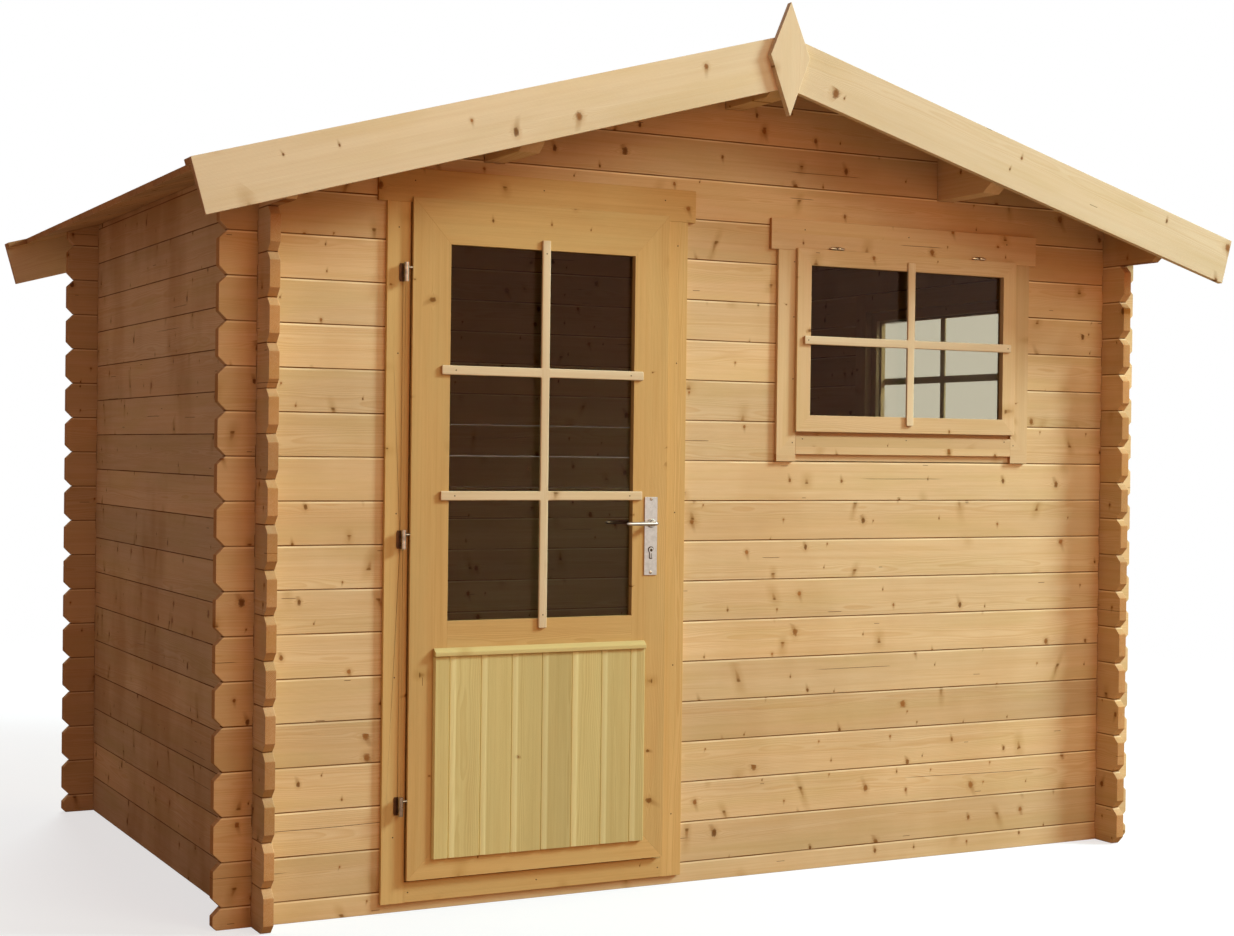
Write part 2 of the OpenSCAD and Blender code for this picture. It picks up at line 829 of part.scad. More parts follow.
// Both levers on their spindle; they turn together
module door_levers() {
    outer = leaf_front - plate_t - lever_out;
    inner = leaf_back + plate_t + lever_out;
    color(metal) at_door() translate([plate_x, 0, lever_z]) {
        translate([0, inner, 0]) rotate([90, 0, 0]) cylinder(h = inner - outer, r = spindle_r, $fn = 48);
        for (ends = [[outer, leaf_front + 5], [leaf_back - 5, inner]])
            translate([0, ends[1], 0]) rotate([90, 0, 0]) cylinder(h = ends[1] - ends[0], r = lever_r, $fn = 48);
        for (y = [outer, inner])
            translate([0, y, 0]) {
                sphere(r = lever_r, $fn = 48);
                rotate([0, -90, 0]) cylinder(h = lever_l - lever_r, r = lever_r, $fn = 48);
                translate([lever_r - lever_l, 0, 0]) sphere(r = lever_r, $fn = 48);
            }
    }
}

// ---- Windows, in the wall's own frame: x from the window's middle, z from the opening's foot ----

module at_front_window() {
    translate([window_x, -half_d, front_window_foot]) children();
}

module at_side_window() {
    translate([half_w, side_window_y, side_window_foot]) rotate([0, 0, 90]) children();
}

// Posts and rails in the opening, with casing boards outside and a casing ring inside
module window_frame() {
    casing = window_in + casing_w;
    difference() {
        union() {
            block(-window_out, window_out, -wall_seat, inner_face, frame_gap, window_hole_h - frame_gap);
            for (side = [0, 1])
                mirror([side, 0, 0])
                    block(window_in, casing, -casing_t, -wall_seat, 0, window_in_top);
            block(-casing, casing, inner_face, inner_casing, window_in_foot - casing_w,
                  window_in_top + casing_w);
        }
        block(-window_in, window_in, -casing_t - 1, inner_casing + 1, window_in_foot, window_in_top);
    }
}

// Head board over a window, and the board under its casement
module window_boards() {
    casing = window_in + casing_w;
    block(-casing - head_past, casing + head_past, -casing_t, -wall_seat, window_in_top,
          window_in_top + head_h);
    block(-window_in + wall_seat, window_in - wall_seat, -casing_t, -wall_seat, apron_lift,
          apron_lift + apron_h);
}

module casement() {
    front = casement_front;
    lip = front + casement_lip_t;
    back = front + casement_t;
    play = casement_lip + casement_gap;
    difference() {
        union() {
            block(-casement_half, casement_half, front, lip, casement_lift, casement_top);
            block(-casement_half + play, casement_half - play, lip, back, casement_lift + play,
                  casement_top - play);
        }
        block(-sight_half, sight_half, front - 1, back + 1, sight_foot, sight_top);
        glass_rebate(sight_half, sight_foot, sight_top, front, back);
    }
}

module front_window_frame() {
    color(joinery_pine) at_front_window() window_frame();
}

module front_window_boards() {
    color(joinery_pine) at_front_window() window_boards();
}

module front_window_casement() {
    color(joinery_pine) at_front_window() casement();
}

module front_window_glass() {
    color(pane) at_front_window() pane_sheet(sight_half, sight_foot, sight_top, casement_front);
}

module front_window_bars() {
    color(pale_pine) at_front_window() bar_lattice(sight_half, sight_foot, sight_top, casement_front, 2);
}

module side_window_frame() {
    color(joinery_pine) at_side_window() window_frame();
}

module side_window_boards() {
    color(joinery_pine) at_side_window() window_boards();
}

module side_window_casement() {
    color(joinery_pine) at_side_window() casement();
}

module side_window_glass() {
    color(pane) at_side_window() pane_sheet(sight_half, sight_foot, sight_top, casement_front);
}

module side_window_bars() {
    color(pale_pine) at_side_window() bar_lattice(sight_half, sight_foot, sight_top, casement_front, 2);
}

front_wall_lower();
front_wall_left();
front_wall_middle();
front_wall_corner();
front_gable();
back_wall();
back_gable();
left_wall();
right_wall_lower();
right_wall_front();
right_wall_back();
eave_logs();
purlins();
roof_left();
roof_right();
front_barge_boards();
back_barge_boards();
finials();
floor_bearers();
floor_boards();
door_jambs();
door_head();
door_head_board();
door_sill();
door_hinge_pins();
door_stiles();
door_rails();
door_glass();
door_bars();
door_panel();
door_moulding();
door_hinge_knuckles();
door_handle_plates();
door_levers();
front_window_frame();
front_window_boards();
front_window_casement();
front_window_glass();
front_window_bars();
side_window_frame();
side_window_boards();
side_window_casement();
side_window_glass();
side_window_bars();
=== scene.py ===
import math

import bmesh
import bpy
from mathutils import Matrix, Vector


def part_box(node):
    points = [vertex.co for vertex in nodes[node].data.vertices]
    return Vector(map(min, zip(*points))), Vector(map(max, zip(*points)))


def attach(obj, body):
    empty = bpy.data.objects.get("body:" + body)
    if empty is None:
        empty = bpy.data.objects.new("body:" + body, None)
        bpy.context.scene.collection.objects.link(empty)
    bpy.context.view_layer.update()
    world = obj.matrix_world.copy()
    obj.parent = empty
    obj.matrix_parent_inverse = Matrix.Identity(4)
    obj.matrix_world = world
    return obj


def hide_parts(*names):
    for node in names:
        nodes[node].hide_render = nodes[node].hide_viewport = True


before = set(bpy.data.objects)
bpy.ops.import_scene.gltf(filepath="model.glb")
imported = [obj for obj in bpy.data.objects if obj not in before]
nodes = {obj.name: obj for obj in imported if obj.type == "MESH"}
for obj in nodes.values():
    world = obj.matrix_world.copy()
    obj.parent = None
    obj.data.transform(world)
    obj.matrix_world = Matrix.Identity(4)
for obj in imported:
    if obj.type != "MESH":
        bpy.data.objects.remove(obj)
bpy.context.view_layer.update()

X, Y, Z = range(3)


def low_of(name, axis):
    """Where a node starts along an axis."""
    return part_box(name)[0][axis]


def high_of(name, axis):
    """Where a node ends along an axis."""
    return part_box(name)[1][axis]


def middle_of(name, axis):
    """The middle of a node along an axis."""
    return (low_of(name, axis) + high_of(name, axis)) / 2


# The logs, the walls' outer faces and the middle planes of the logs behind them
LOG_HEIGHT = 0.114
LOG_T = 0.028
LOG_COURSES = 16
LOG_NOSE = 0.022
HALF_LOG = LOG_HEIGHT / 2
WALL_X = high_of("right_wall_front", X)
WALL_Y = high_of("back_wall", Y)
LOG_END = high_of("back_wall", X) - WALL_X
SIDE_LOG = WALL_X - LOG_T / 2
FRONT_LOG = WALL_Y - LOG_T / 2

# The roof: its boards end short of the longer board along each gable edge
ROOF_PITCH = math.radians(15.7)
ROOF_T = 0.017
ROOF_PEAK = high_of("roof_right", Z)
ROOF_END = high_of("roof_right", Y)
VERGE_EDGE = high_of("roof_right", X)
VERGE_W = 0.044
VERGE_PAST = 0.060
ROOF_BOARDS_END = ROOF_END - VERGE_W
BOARD_EDGE = VERGE_EDGE - VERGE_PAST
ROOF_BOARD_COUNT = 25
ROOF_BOARD = 2 * ROOF_BOARDS_END / ROOF_BOARD_COUNT

# The floor
FLOOR_LOW = low_of("floor_boards", Z)
FLOOR_HIGH = high_of("floor_boards", Z)
FLOOR_HALF_X = high_of("floor_boards", X)
FLOOR_HALF_Y = high_of("floor_boards", Y)
FLOOR_BOARD_COUNT = 18
FLOOR_BOARD = 2 * FLOOR_HALF_Y / FLOOR_BOARD_COUNT

# Half the fine joint between two boards, and half the width of the tongue in it
HALF_JOINT = 0.0003
HALF_TONGUE = 0.004

# The door: its panel, its leaf, the handle plates and the levers
DOOR_X = middle_of("door_panel", X)
PANEL_HALF = high_of("door_panel", X) - DOOR_X
PANEL_FOOT = low_of("door_panel", Z)
PANEL_TOP = high_of("door_panel", Z)
PANEL_BOARD_COUNT = 7
PANEL_BOARD = 2 * PANEL_HALF / PANEL_BOARD_COUNT
LEAF_FRONT = low_of("door_rails", Y)
LEAF_BACK = high_of("door_rails", Y)
PLATE_Z = middle_of("door_handle_plates", Z)
LEVER_X = middle_of("door_handle_plates", X)
LEVER_Z = middle_of("door_levers", Z)
LEVER_L = LEVER_X - low_of("door_levers", X)
LEVER_OUT = 0.042
SPINDLE_R = 0.0045
# The outer faces of the handle plates, and the way out of each
PLATE_FACES = ((low_of("door_handle_plates", Y), -1), (high_of("door_handle_plates", Y), 1))

# The windows' middles, and how far the faces of the casings and of the bars stand out from the walls' own
CASEMENT_UP = 0.0005
WINDOW_X = middle_of("front_window_frame", X)
WINDOW_Z = middle_of("front_window_casement", Z) - CASEMENT_UP
SIDE_WINDOW_Z = middle_of("side_window_casement", Z) - CASEMENT_UP
CASING_OUT = -WALL_Y - low_of("front_window_frame", Y)
DOOR_BAR_OUT = -WALL_Y - low_of("door_bars", Y)
WINDOW_BAR_OUT = -WALL_Y - low_of("front_window_bars", Y)
HALF_BAR = 0.0126


# ---- Finishes: shader maths written as expressions on wires ----

class Wire:
    """An output of a shader node. Arithmetic on wires adds Math nodes to the finish."""

    def __init__(self, finish, socket):
        self.finish = finish
        self.socket = socket

    def out(self, name):
        """Another output of the same node."""
        return Wire(self.finish, self.socket.node.outputs[name])

    def split(self):
        """The three parts of a vector or colour."""
        parts = self.finish.node("ShaderNodeSeparateXYZ", inputs={0: self})
        return parts, parts.out(1), parts.out(2)

    def maths(self, operation, *others):
        return self.finish.maths(operation, self, *others)

    def __add__(self, other):
        return self.finish.maths("ADD", self, other)

    def __radd__(self, other):
        return self.finish.maths("ADD", other, self)

    def __sub__(self, other):
        return self.finish.maths("SUBTRACT", self, other)

    def __rsub__(self, other):
        return self.finish.maths("SUBTRACT", other, self)

    def __mul__(self, other):
        return self.finish.maths("MULTIPLY", self, other)

    def __rmul__(self, other):
        return self.finish.maths("MULTIPLY", other, self)

    def __truediv__(self, other):
        return self.finish.maths("DIVIDE", self, other)

    def __rtruediv__(self, other):
        return self.finish.maths("DIVIDE", other, self)

    def __pow__(self, other):
        return self.finish.maths("POWER", self, other)

    def __neg__(self):
        return self.finish.maths("MULTIPLY", self, -1.0)

    def __abs__(self):
        return self.finish.maths("ABSOLUTE", self)

    def __gt__(self, other):
        return self.finish.maths("GREATER_THAN", self, other)

    def __lt__(self, other):
        return self.finish.maths("LESS_THAN", self, other)

    def floor(self):
        return self.maths("FLOOR")

    def least(self, other):
        return self.maths("MINIMUM", other)

    def most(self, other):
        return self.maths("MAXIMUM", other)

    def ease(self, low, high, start=0.0, end=1.0):
        """Eases from start to end as the wire goes from low to high."""
        return self.finish.node("ShaderNodeMapRange", {"interpolation_type": "SMOOTHSTEP"},
                                {0: self, 1: low, 2: high, 3: start, 4: end})


class Finish:
    """A material made of nodes, or the studio's world."""

    def __init__(self, name, world=None):
        self.material = world or bpy.data.materials.new(name)
        self.material.use_nodes = True
        self.tree = self.material.node_tree
        self.tree.nodes.clear()

    def node(self, kind, settings=None, inputs=None, output=0):
        made = self.tree.nodes.new(kind)
        for key, value in (settings or {}).items():
            setattr(made, key, value)
        for key, value in (inputs or {}).items():
            if isinstance(value, Wire):
                self.tree.links.new(value.socket, made.inputs[key])
            else:
                made.inputs[key].default_value = value
        return Wire(self, made.outputs[output])

    def maths(self, operation, *values):
        return self.node("ShaderNodeMath", {"operation": operation}, dict(enumerate(values)))

    def vector(self, a, b, c):
        return self.node("ShaderNodeCombineXYZ", inputs={0: a, 1: b, 2: c})

    def mix(self, factor, a, b):
        """A colour from a to b."""
        return self.node("ShaderNodeMix", {"data_type": "RGBA"}, {0: factor, 6: a, 7: b}, output=2)

    def noise(self, place, scale=1.0, detail=2.0, rough=0.5):
        return self.node("ShaderNodeTexNoise", inputs={"Vector": place, "Scale": scale, "Detail": detail,
                                                       "Roughness": rough})

    def cells(self, place):
        """Scattered points in a plane: the place of the nearest one, and its three random numbers."""
        found = self.node("ShaderNodeTexVoronoi", {"voronoi_dimensions": "2D"},
                          {"Vector": place, "Scale": 1.0}, output="Position")
        return found.split(), found.out("Color").split()

    def surface(self, colour, roughness, height=None, depth=0.001, strength=0.5, metallic=0.0, **constants):
        shader = self.node("ShaderNodeBsdfPrincipled", inputs={"Base Color": colour, "Roughness": roughness,
                                                               "Metallic": metallic, **constants})
        if height is not None:
            bump = self.node("ShaderNodeBump", inputs={"Strength": strength, "Distance": depth,
                                                       "Height": height})
            self.tree.links.new(bump.socket, shader.socket.node.inputs["Normal"])
        end = self.tree.nodes.new("ShaderNodeOutputMaterial")
        self.tree.links.new(shader.socket, end.inputs["Surface"])
        return self.material


def shade(red, green, blue):
    """A colour given as it shows on a screen, 0 to 255."""
    def linear(c):
        c /= 255
        return c / 12.92 if c <= 0.04045 else ((c + 0.055) / 1.055) ** 2.4
    return (linear(red), linear(green), linear(blue), 1.0)


def where(mask, a, b):
    """b where the mask is 0, a where it is 1."""
    return b + (a - b) * mask


# Layouts: from a place and a normal to (along the grain, across it, depth, board number, end grain). Across
# and depth are taken from about the middle of each piece, where its rings have their pith.

def logs_x(p, n):
    """The front and back walls' logs."""
    course = (p[2] / LOG_HEIGHT + 0.5).floor()
    number = course + (p[1] > 0) * 37
    return p[0], p[2] - course * LOG_HEIGHT, abs(p[1]) - FRONT_LOG, number, abs(n[0])


def logs_y(p, n):
    """The side walls' logs."""
    course = (p[2] / LOG_HEIGHT).floor()
    number = course + 61 + (p[0] > 0) * 29
    return p[1], p[2] - (course + 0.5) * LOG_HEIGHT, abs(p[0]) - SIDE_LOG, number, abs(n[1])


def beams_y(p, n):
    """Beams from front to back, one step apart: the purlins and the floor's bearers."""
    step = 0.749
    row = (p[0] / step).maths("ROUND")
    return p[1], p[2] - 2.1, p[0] - row * step, row + 105, abs(n[1])


def floor_layout(p, n):
    """The floor's boards, which lie side by side from front to back."""
    from_front = p[1] + FLOOR_HALF_Y
    board = (from_front / FLOOR_BOARD).floor()
    return p[0], from_front - (board + 0.5) * FLOOR_BOARD, p[2], board + 431, abs(n[0])


def roof_layout(p, n):
    """The roof's boards, which lie side by side from front to back."""
    from_front = p[1] + ROOF_BOARDS_END
    board = (from_front / ROOF_BOARD).floor()
    depth = p[2] + abs(p[0]) * math.tan(ROOF_PITCH) - 2.36
    number = board + 140 + (p[0] > 0) * 53
    return abs(p[0]), from_front - (board + 0.5) * ROOF_BOARD, depth, number, abs(n[0])


def barge_layout(p, n):
    """The barge boards, which run down from the peak on both sides."""
    side = (p[0] > 0) * 2 - 1
    along = abs(p[0]) * math.cos(ROOF_PITCH) - p[2] * math.sin(ROOF_PITCH)
    across = abs(p[0]) * math.sin(ROOF_PITCH) + p[2] * math.cos(ROOF_PITCH) - 2.21
    return along, across, abs(p[1]) - 1.166, side * 3 + (p[1] > 0) * 11 + 257, abs(n[0])


def finial_layout(p, n):
    """The finials, one upright board at each gable."""
    return p[2], p[0], abs(p[1]) - 1.18, (p[1] > 0) * 3 + 401, abs(n[2])


def door_sides(seed):
    """The door's upright members, left and right of its middle."""
    def layout(p, n):
        right = p[0] > DOOR_X
        return p[2], abs(p[0] - DOOR_X) - 0.4, p[1] + WALL_Y, right * 7 + seed, abs(n[2])
    return layout


def level(step, seed):
    """Level members one over another."""
    def layout(p, n):
        row = (p[2] / step).floor()
        return p[0], p[2] - (row + 0.5) * step, p[1] + WALL_Y, row + seed, abs(n[0])
    return layout


def mitred(cx, cz, lead, seed, turn=False):
    """A frame with mitred corners: members stand where they are further from the middle than lead says."""
    def layout(p, n):
        u, d = (p[1], p[0]) if turn else (p[0], p[1])
        out = abs(u - cx)
        up = p[2] - cz
        standing = out - lead > abs(up)
        across = where(standing, out - 0.37, abs(up) - 0.24)
        number = where(standing, (u > cx) * 5, (up > 0) * 9 + 20) + seed
        end = where(standing, abs(n[2]), abs(n[1] if turn else n[0]))
        return where(standing, p[2], u), across, abs(d) - (WALL_X if turn else WALL_Y), number, end
    return layout


def bars_of(cx, seed, turn=False):
    """Thin crossing bars; the upright one lies in the middle."""
    def layout(p, n):
        u = p[1] if turn else p[0]
        standing = abs(u - cx) < HALF_BAR
        row = (p[2] / 0.2).floor()
        end = where(standing, abs(n[2]), abs(n[1] if turn else n[0]))
        number = where(standing, seed, row + seed + 5)
        return where(standing, p[2], u), where(standing, u - cx, p[2]), 0.0, number, end
    return layout


def panel_layout(p, n):
    """The upright boards of the door's panel."""
    start = p[0] - DOOR_X + PANEL_HALF + PANEL_BOARD / 2
    board = (start / PANEL_BOARD).floor()
    return p[2], start - (board + 0.5) * PANEL_BOARD, p[1] + 0.93, board + 311, abs(n[2])


class Grain:
    """A place in a board of timber, as wires: run along the grain, across and depth over it, end where the
    grain is cut across, and the board's number with three random numbers of its own."""

    def __init__(self, finish, layout):
        self.finish = finish
        self.at = finish.node("ShaderNodeTexCoord", output="Object")
        found = layout(self.at.split(), self.at.out("Normal").split())
        along, self.across, self.depth, self.board, self.end = found
        self.luck = finish.node("ShaderNodeTexWhiteNoise", {"noise_dimensions": "1D"}, {"W": self.board},
                                output="Color").split()
        self.run = along + self.luck[0] * 31.0

    def streaks(self, along, across, detail=2.0, rough=0.6):
        """Noise drawn out along the grain."""
        place = self.finish.vector(self.run * along, self.across * across, self.depth * across)
        return self.finish.noise(place, 1.0, detail, rough)

    def patches(self, along, across, boards):
        """Noise over the face, which changes from board to board."""
        place = self.finish.vector(self.run * along, self.across * across, self.board * boards)
        return self.finish.noise(place)

    def stretches(self, along, boards, detail=1.0):
        """Noise that changes along the board and from board to board only."""
        place = self.finish.vector(self.run * along, self.board * boards, 0.0)
        return self.finish.noise(place, 1.0, detail)

    def scattered(self, step, width, start, shift):
        """A point in each cell of the board: the way from it along and across, and its random numbers."""
        shifted = self.across + shift
        place = self.finish.vector(self.run / step + start, shifted / width, 0.0)
        point, chance = self.finish.cells(place)
        return self.run - (point[0] - start) * step, shifted - point[1] * width, chance


def knots_in(g, share, scale):
    """Knots: the knot, its halo and rim, the mark that trails from it, how dark it is, and how far it pushes
    the grain aside."""
    du, dv, chance = g.scattered(0.19, 0.058, 0.0, g.luck[1] * 9.0)
    size = (0.0022 + 0.0066 * chance[0] ** 3.0) * scale
    there = chance[1] > 1.0 - 0.46 * share
    reach = (du * du * (0.8 + chance[2] * 0.9) + dv * dv * 0.8).maths("SQRT") / size
    ragged = g.finish.noise(g.finish.vector(g.run, g.across, g.depth), 150.0, 1.0) * 0.9 + 0.55
    edge = reach * ragged
    knot = edge.ease(1.45, 0.55) * there
    halo = reach.ease(3.4, 0.6) * there
    rim = edge.ease(0.62, 0.98) * edge.ease(1.38, 1.02) * there * chance[2]
    below = dv * ((chance[2] > 0.5) * 2 - 1) / size
    trail = (abs(du + dv * (chance[0] - 0.5)) / size).ease(1.5, 0.2)
    trail = trail * below.ease(0.0, 0.8) * below.ease(6.5, 0.5) * there
    flow = (du * du * 0.11 + dv * dv).maths("SQRT")
    push = dv / (flow + 0.002) * size * 1.5 * (-(flow / (size * 2.8)) ** 2.0).maths("EXPONENT") * there
    return knot, halo, rim, trail, chance[2], push


def limbs_in(g, share):
    """Branches cut along their length: a soft band, a stroke across the board, and its dark root."""
    du, dv, chance = g.scattered(0.27, 0.16, 3.7, g.luck[0] * 7.0)
    dv = dv * ((chance[0] > 0.5) * 2 - 1)
    lean = abs(du - dv * (chance[2] - 0.5) * 0.9 + (g.patches(70.0, 40.0, 1.0) - 0.5) * 0.009)
    part = dv / (0.013 + 0.030 * chance[1])
    grows = (chance[1] * 7.3 + chance[2] * 3.1).maths("FRACT") > 1.0 - 0.50 * share
    stroke = (lean / (0.0084 - 0.0050 * part.least(1.0))).ease(1.35, 0.15) * part.ease(-0.12, 0.05)
    stroke = stroke * grows * part.ease(1.05, 0.3)
    root = (stroke * part.ease(0.42, 0.05)).ease(0.3, 0.9)
    band = (lean / (0.010 + 0.010 * chance[0])).ease(1.7, 0.0) * part.ease(-1.4, -0.2)
    band = band * part.ease(2.6, 0.9) * grows
    return band, stroke, root


def rings_in(g, push, spacing, wander, sway):
    """Growth rings round a pith that wanders beside the board."""
    rv = g.across - push - (g.luck[1] - 0.5) * 0.12 - (wander - 0.5) * 0.09
    rw = g.depth - (g.luck[2] - 0.5) * 0.10 - (sway - 0.5) * 0.012
    radius = (rv * rv + rw * rw).maths("SQRT")
    phase = (radius / (spacing * (0.75 + g.luck[2] * 0.6)) + sway * 1.6).maths("FRACT")
    return phase.ease(0.25, 0.86) * phase.ease(1.0, 0.9)


def cracks_in(g, share, wander, sway):
    """Short drying cracks along the grain and, in a few boards, a long one."""
    du, dv, chance = g.scattered(0.42, 0.08, 7.3, g.luck[2] * 5.0)
    length = 0.007 + 0.010 * chance[2] + 0.17 * chance[1] ** 6.0
    taper = (abs(du) / length).ease(1.0, 0.1)
    short = (abs(dv + (sway - 0.5) * 0.006) / 0.0009).ease(1.3, 0.5)
    short = short * taper.ease(0.0, 0.35) * (chance[0] > 1.0 - 0.34 * share)
    opened = g.stretches(2.6, 5.3).ease(0.53, 0.60) * (g.luck[2] > 1.0 - 0.06 * share)
    line = g.across - (g.luck[0] - 0.5) * 0.045 - (wander - 0.5) * 0.05 - (sway - 0.5) * 0.006
    return short.most((abs(line) / 0.0009).ease(1.4, 0.5) * opened)


def timber(name, layout, pale, late, warm=1.0, knots=1.0, knot_size=1.0, cracks=1.0, figure=1.0, vary=1.0,
           ends=1.0, stain=0.0, joint=None, painted_top_highlight=False, painted_flank=None):
    """Planed softwood: growth rings cut by the face, knots that the grain runs round, fibres and cracks.

    pale and late are the colours of the early and the late wood. The numbers from warm to stain say how much
    there is of each thing. joint is half a board's height, where painted shade darkens the joints between
    boards.
    A flag paints a pale upper edge on each board, a painted highlight of the light from above. The last
    argument is half a board's width, where each board gets a painted highlight on its sloping flank and
    painted shade in the step at its edge.
    """
    f = Finish(name)
    g = Grain(f, layout)
    wander = g.stretches(0.9, 3.7)
    sway = g.streaks(3.5, 14.0, rough=0.5)
    knot, halo, rim, trail, dark, push = knots_in(g, knots, knot_size)
    band, stroke, root = limbs_in(g, knots)
    grown = rings_in(g, push, 0.0027, wander, sway)
    crack = cracks_in(g, cracks, wander, sway)
    streak = g.streaks(2.2, 60.0, 3.0)
    fibre = g.streaks(26.0, 900.0)
    sawn = g.streaks(40.0, 300.0, rough=0.7)
    cloud = g.patches(1.1, 6.0, 2.3)
    cut = g.end.ease(0.55, 0.85)
    face = 1.0 - cut

    # Rings and streaks, then the board's own warmer or greyer tone
    lines = streak.ease(0.35, 0.75) * 0.26 + g.streaks(1.4, 190.0).ease(0.40, 0.70) * 0.16
    wood = f.mix((grown * 0.36 + lines) * figure, shade(*pale), shade(*late))
    warmth = ((g.luck[1] - 0.5) * 0.8 + (cloud - 0.5) * 0.9) * vary
    wood = f.mix((warmth + 0.30).most(0.0).least(1.0) * 0.30 * warm, wood, shade(204, 152, 90))
    olive = g.patches(2.4, 16.0, 3.1).ease(0.42, 0.72)
    wood = f.mix(olive * 0.34 * vary, wood, shade(206, 178, 118))

    # Knots, branches and cracks, each as a mask and its colour
    heart = f.mix(dark, shade(158, 98, 44), shade(102, 60, 18))
    end_grain = cut * ends * (0.50 + grown * 0.26 + (sawn - 0.5) * 0.5)
    for mask, colour in ((halo * 0.30, shade(176, 124, 58)), (band * 0.32, shade(168, 122, 54)),
                         (trail * 0.42, shade(146, 98, 40)), (stroke * 0.52, shade(142, 94, 36)),
                         (root * 0.62, shade(104, 64, 18)), (knot * 0.86, heart),
                         (rim * 0.36, shade(86, 50, 14)), (crack * 0.74, shade(92, 52, 18)),
                         (end_grain, shade(176, 106, 34))):
        wood = f.mix(mask, wood, colour)
    if stain:
        drawn = f.node("ShaderNodeMapping", inputs={"Vector": g.at, "Scale": (2.6, 2.6, 1.3)})
        smear = f.noise(drawn, 1.0, 3.0, 0.55).ease(0.46, 0.68)
        wood = f.mix(smear * stain, wood, shade(176, 124, 66))
    # A painted highlight on the sloping flank of each board, and painted shade in the step at its edge.
    if painted_flank:
        inward = g.across + painted_flank
        wood = f.mix(inward.ease(0.0210, 0.0150) * face * 0.72, wood, shade(236, 222, 162))
        wood = f.mix(inward.ease(0.0022, 0.0008) * 0.6, wood, shade(142, 116, 60))
    # Painted shade darkens the joints between boards, where the gap lies in shadow; its strength varies
    # along the board.
    if joint:
        patchy = g.stretches(5.0, 1.0, 2.0)
        seam = abs(g.across).ease(joint - 0.0024, joint - 0.0010) * patchy.ease(0.30, 0.70, 0.50, 1.0)
        # A painted highlight along each board's upper edge, where the light from above catches it.
        if painted_top_highlight:
            top_highlight = g.across.ease(joint - 0.0072, joint - 0.0050)
            top_highlight = top_highlight * g.across.ease(joint - 0.0016, joint - 0.0026)
            wood = f.mix(top_highlight * face * patchy.ease(0.30, 0.65, 0.2, 0.9), wood, shade(253, 232, 186))
        wood = f.mix(seam * face, wood, shade(126, 70, 14))

    tone = 1.0 + ((g.luck[0] - 0.5) * 0.17 + (cloud - 0.5) * 0.32 + (fibre - 0.5) * 0.12 * face) * vary
    wood = f.node("ShaderNodeVectorMath", {"operation": "SCALE"}, {0: wood, "Scale": tone})
    height = grown * 0.22 + fibre * 0.5 * face + sawn * 0.9 * cut - knot * 0.35 - crack * 2.2 + cloud * 0.3
    rough = 0.60 + (streak - 0.5) * 0.16 + cut * 0.22 - knot * 0.12
    return f.surface(wood, rough, height, depth=0.0011, strength=0.45, **{"Specular IOR Level": 0.01})


def metal(name, colour, roughness, brushed=0.0, patchy=0.3):
    """Plated or satin metal with fine brushing and a little dulling."""
    f = Finish(name)
    at = f.node("ShaderNodeTexCoord", output="Object")
    x, y, z = at.split()
    brush = f.noise(f.vector(x * 60.0, y * 60.0, z * 1400.0), 1.0, 2.0, 0.6)
    blot = f.noise(at, 70.0, 3.0, 0.6)
    tint = f.mix(blot.ease(0.35, 0.7) * patchy, shade(*colour), shade(*[c * 0.55 for c in colour]))
    rough = roughness + (blot - 0.5) * 0.25 + (brush - 0.5) * brushed
    return f.surface(tint, rough, brush * 0.4 + blot * 0.4, depth=0.0003, strength=0.35, metallic=1.0)


def glass(name):
    """Clear float glass with a trace of dust, its reflections tinted dark brown as a painted reflection of
    dark surroundings.
    """
    f = Finish(name)
    dust = f.noise(f.node("ShaderNodeTexCoord", output="Object"), 9.0, 4.0, 0.6)
    rough = dust.ease(0.45, 0.75) * 0.05 + 0.01
    return f.surface(shade(222, 218, 204), rough,
                     **{"Transmission Weight": 1.0, "IOR": 1.5, "Specular Tint": (0.30, 0.14, 0.09, 1.0)})


PALE = (228, 199, 154)
LATE = (204, 162, 108)
EDGE_PALE = (230, 210, 174)
EDGE_LATE = (210, 178, 132)
# The front and right walls' logs carry the painted highlight on their upper edges; the left wall's copy has
# none, as that wall stands in shade.
pine_front = timber("pine_logs_front", logs_x, PALE, LATE, figure=0.95, stain=0.16, joint=HALF_LOG,
                    painted_top_highlight=True)
pine_side = timber("pine_logs_side", logs_y, PALE, LATE, vary=1.3, stain=0.5, joint=HALF_LOG)
pine_right = timber("pine_logs_right", logs_y, PALE, LATE, stain=0.12, joint=HALF_LOG, painted_top_highlight=True)
pine_beam = timber("pine_beams", beams_y, PALE, LATE, knots=0.8)
pine_roof = timber("pine_roof_boards", roof_layout, PALE, LATE, knots=0.8, joint=ROOF_BOARD / 2)
pine_barge = timber("pine_barge_boards", barge_layout, EDGE_PALE, EDGE_LATE, warm=0.3, knots=0.7,
                    knot_size=1.25, cracks=0.3, figure=0.7, vary=0.7)
pine_finial = timber("pine_finials", finial_layout, EDGE_PALE, EDGE_LATE, warm=0.3, knots=0.7, cracks=0.0,
                     figure=0.6, vary=0.6)
pine_floor = timber("pine_floor", floor_layout, PALE, LATE, joint=FLOOR_BOARD / 2)
pine_joist = timber("pine_bearers", beams_y, PALE, LATE)

timber_of = {
    "front_wall_lower": pine_front, "front_wall_left": pine_front, "front_wall_middle": pine_front,
    "front_wall_corner": pine_front, "front_gable": pine_front, "back_wall": pine_front,
    "back_gable": pine_front, "left_wall": pine_side, "right_wall_lower": pine_right,
    "right_wall_front": pine_right, "right_wall_back": pine_right, "eave_logs": pine_side,
    "purlins": pine_beam, "roof_left": pine_roof, "roof_right": pine_roof, "front_barge_boards": pine_barge,
    "back_barge_boards": pine_barge, "finials": pine_finial, "floor_bearers": pine_joist,
    "floor_boards": pine_floor,
}

